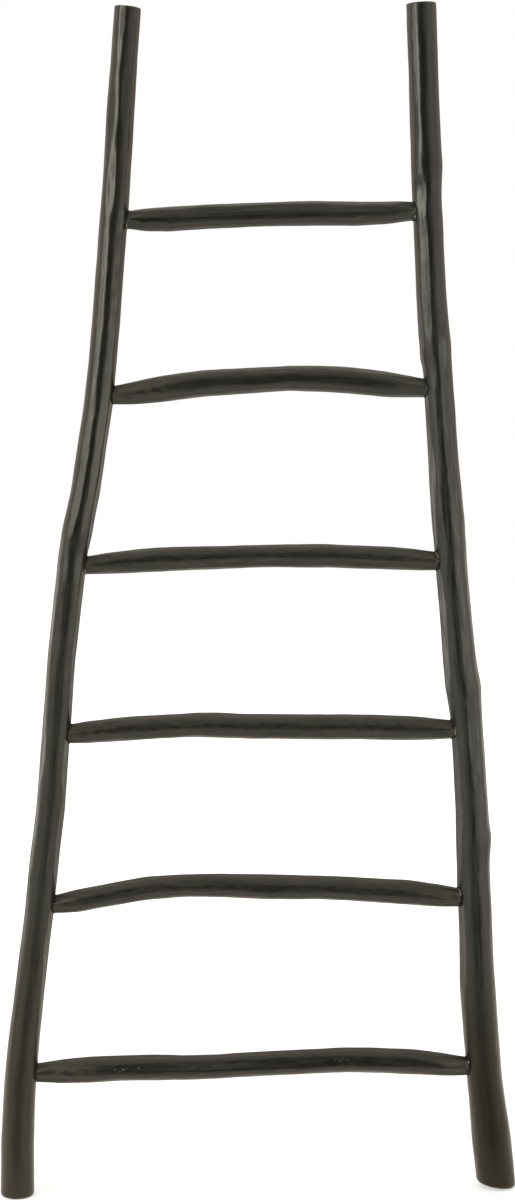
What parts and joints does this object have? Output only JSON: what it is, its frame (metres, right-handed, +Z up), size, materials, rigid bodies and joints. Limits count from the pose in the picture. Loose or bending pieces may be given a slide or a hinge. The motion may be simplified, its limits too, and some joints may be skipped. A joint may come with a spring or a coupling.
{
  "type": "decorative ladder",
  "caption": "Leaning decorative ladder of crooked debarked branches: two tapering poles and bowed rungs whittled to tenons, pegged in drilled sockets, all satin black.",
  "frame": {"origin": "on the floor, midway between the outsides of the two feet and midway through the depth", "axes": "+X from the left pole to the right pole as seen from the front, +Y towards the wall behind, +Z up"},
  "size_m": [0.6595, 0.0485, 1.5],
  "materials": {
    "black_lacquered_wood": "debarked branch wood, sanded, stained black and satin lacquered",
    "peg_wood": "square wooden peg, trimmed flush at the back and lacquered over"
  },
  "bodies": {
    "root": {"left_pole": "black_lacquered_wood", "right_pole": "black_lacquered_wood", "rung_1": "black_lacquered_wood", "rung_2": "black_lacquered_wood", "rung_3": "black_lacquered_wood", "rung_4": "black_lacquered_wood", "rung_5": "black_lacquered_wood", "rung_6": "black_lacquered_wood", "peg_left_1": "peg_wood", "peg_left_2": "peg_wood", "peg_left_3": "peg_wood", "peg_left_4": "peg_wood", "peg_left_5": "peg_wood", "peg_left_6": "peg_wood", "peg_right_1": "peg_wood", "peg_right_2": "peg_wood", "peg_right_3": "peg_wood", "peg_right_4": "peg_wood", "peg_right_5": "peg_wood", "peg_right_6": "peg_wood"}
  },
  "joints": []
}
